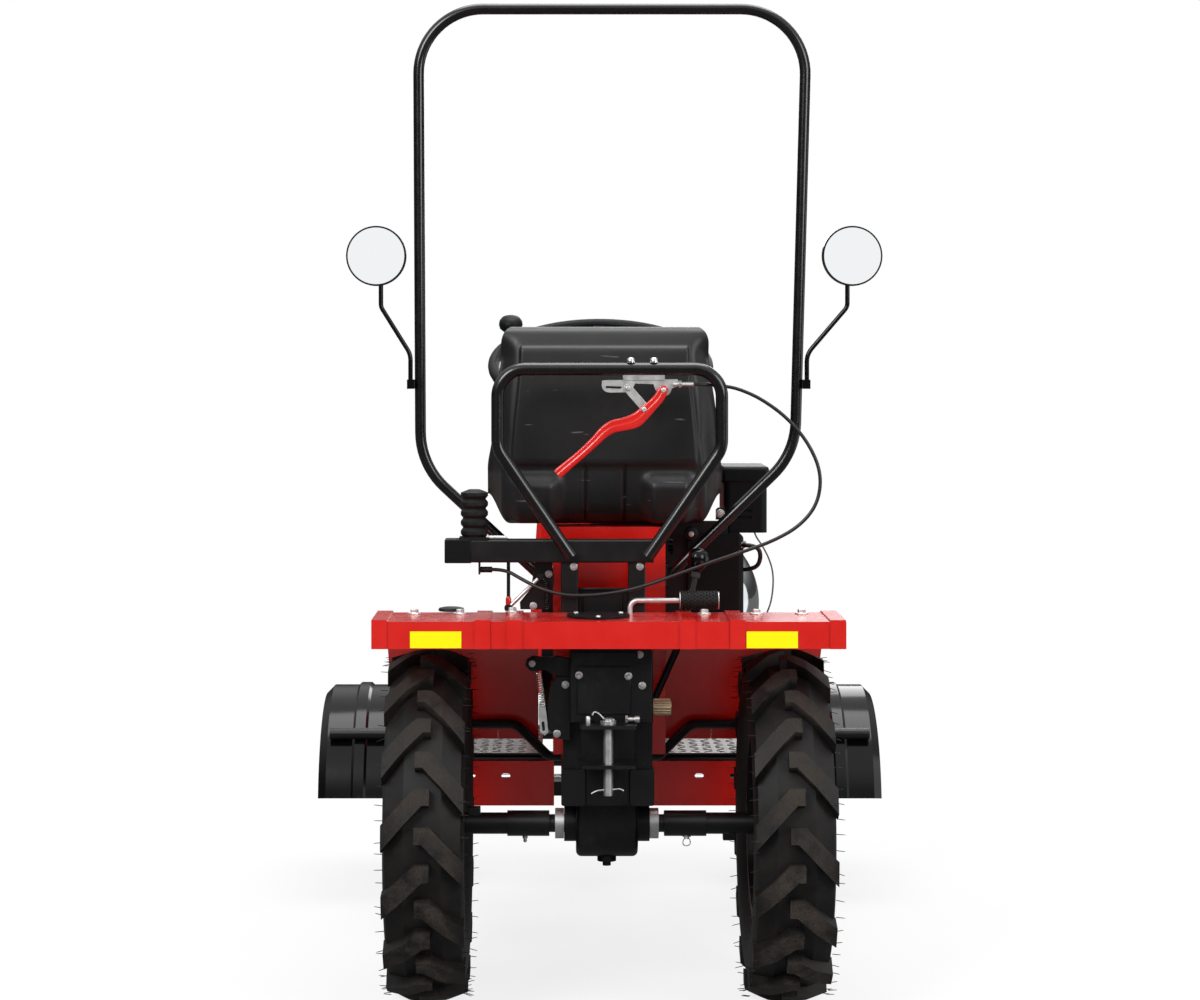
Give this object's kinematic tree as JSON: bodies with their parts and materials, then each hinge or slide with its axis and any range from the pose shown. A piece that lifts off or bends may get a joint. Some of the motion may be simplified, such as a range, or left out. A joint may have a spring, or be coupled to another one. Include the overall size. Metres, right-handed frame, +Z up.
{
  "type": "mini tractor",
  "caption": "Mini tractor with lugged rear wheels, steered front wheels, bucket seat, roll hoop, round mirrors, side engine and open rear deck.",
  "frame": {"origin": "on the ground, under the middle of the length and width", "axes": "+Y the way the tractor faces, +X its right side, +Z up"},
  "size_m": [1.12, 1.5335, 1.696],
  "materials": {
    "frame_black": "satin",
    "cast_black": "satin",
    "red_paint": "gloss",
    "hoop_black": "gloss",
    "zinc": "satin",
    "chrome": "gloss",
    "checker_plate": "satin",
    "tyre": "matte",
    "rubber": "matte",
    "seat_black": "satin",
    "pad_black": "satin",
    "plastic_black": "gloss",
    "plastic_matte": "matte",
    "reflector": "gloss",
    "lamp": "gloss",
    "engine_grey": "matte",
    "rim_paint": "satin",
    "mirror": "gloss"
  },
  "bodies": {
    "chassis": {"main_frame": "frame_black", "front_axle_beam": "frame_black", "final_drive": "cast_black", "shaft_collars": "zinc", "transmission_case": "cast_black", "pto_stub": "zinc", "hitch_clevis": "frame_black", "hitch_pin": "zinc", "rear_deck_left": "red_paint", "rear_deck_centre": "red_paint", "rear_deck_right": "red_paint", "reflectors": "reflector", "deck_cover": "plastic_matte", "deck_braces": "frame_black", "seat_pedestal": "red_paint", "cross_beam": "frame_black", "lever_boot": "rubber", "seat_shell": "seat_black", "seat_back_pad": "pad_black", "seat_base_pad": "pad_black", "seat_guard": "hoop_black", "lever_bracket": "zinc", "brake_lever": "red_paint", "roll_hoop": "hoop_black", "mirrors": "plastic_black", "engine_block": "engine_grey", "blower_housing": "plastic_matte", "starter_cover": "chrome", "air_cleaner": "plastic_matte", "muffler": "zinc", "belt_guard": "frame_black", "footboards": "checker_plate", "skirt_panels": "red_paint", "step_frame": "frame_black", "front_fenders": "plastic_black", "front_cowl": "red_paint", "steering_column": "frame_black", "front_bumper": "frame_black", "gear_lever": "frame_black", "foot_pedal": "zinc", "lever_cable": "rubber", "headlamps": "lamp", "front_grille": "plastic_matte", "mirror_glass": "mirror"},
    "rear_wheel_body_left": {"rear_wheel_left": "frame_black", "rear_tyre_left": "tyre"},
    "rear_wheel_body_right": {"rear_wheel_right": "frame_black", "rear_tyre_right": "tyre"},
    "knuckle_body_left": {"knuckle_left": "frame_black"},
    "knuckle_body_right": {"knuckle_right": "frame_black"},
    "front_wheel_body_left": {"front_rim_left": "rim_paint", "front_tyre_left": "tyre"},
    "front_wheel_body_right": {"front_rim_right": "rim_paint", "front_tyre_right": "tyre"},
    "pitman_body": {"pitman_arm": "frame_black"},
    "tie_rod_body": {"tie_rod": "zinc"},
    "steering_wheel_body": {"steering_wheel": "plastic_matte"}
  },
  "joints": [
    {"name": "rear_wheel_spin_left", "type": "hinge", "parent": "chassis", "child": "rear_wheel_body_left", "pos_m": [-0.299, -0.473, 0.294], "axis": [1, 0, 0], "continuous": true},
    {"name": "rear_wheel_spin_right", "type": "hinge", "parent": "chassis", "child": "rear_wheel_body_right", "pos_m": [0.299, -0.473, 0.294], "axis": [1, 0, 0], "continuous": true},
    {"name": "steer_left", "type": "hinge", "parent": "chassis", "child": "knuckle_body_left", "pos_m": [-0.27, 0.527, 0.195], "axis": [0, 0, 1], "range_deg": [-30, 30]},
    {"name": "steer_right", "type": "hinge", "parent": "chassis", "child": "knuckle_body_right", "pos_m": [0.27, 0.527, 0.195], "axis": [0, 0, 1], "range_deg": [-30.3, 30.3]},
    {"name": "pitman_turn", "type": "hinge", "parent": "chassis", "child": "pitman_body", "pos_m": [0, 0.465, 0.35], "axis": [0, 0, 1], "range_deg": [-30.3, 30.3]},
    {"name": "tie_rod_turn", "type": "hinge", "parent": "knuckle_body_left", "child": "tie_rod_body", "pos_m": [-0.27, 0.432, 0.224], "axis": [0, 0, 1], "range_deg": [-30.3, 30.3]},
    {"name": "steering_wheel_turn", "type": "hinge", "parent": "chassis", "child": "steering_wheel_body", "pos_m": [0, 0.207, 1.065], "axis": [0, -0.3891, 0.9212], "range_deg": [-181, 181]},
    {"name": "front_wheel_spin_left", "type": "hinge", "parent": "knuckle_body_left", "child": "front_wheel_body_left", "pos_m": [-0.37, 0.527, 0.165], "axis": [1, 0, 0], "continuous": true},
    {"name": "front_wheel_spin_right", "type": "hinge", "parent": "knuckle_body_right", "child": "front_wheel_body_right", "pos_m": [0.37, 0.527, 0.165], "axis": [1, 0, 0], "continuous": true}
  ],
  "couplings": [
    {"joint": "steer_right", "follows": "steer_left", "ratio": 1},
    {"joint": "pitman_turn", "follows": "steer_left", "ratio": 1},
    {"joint": "tie_rod_turn", "follows": "steer_left", "ratio": -1},
    {"joint": "steering_wheel_turn", "follows": "steer_left", "ratio": 6}
  ]
}
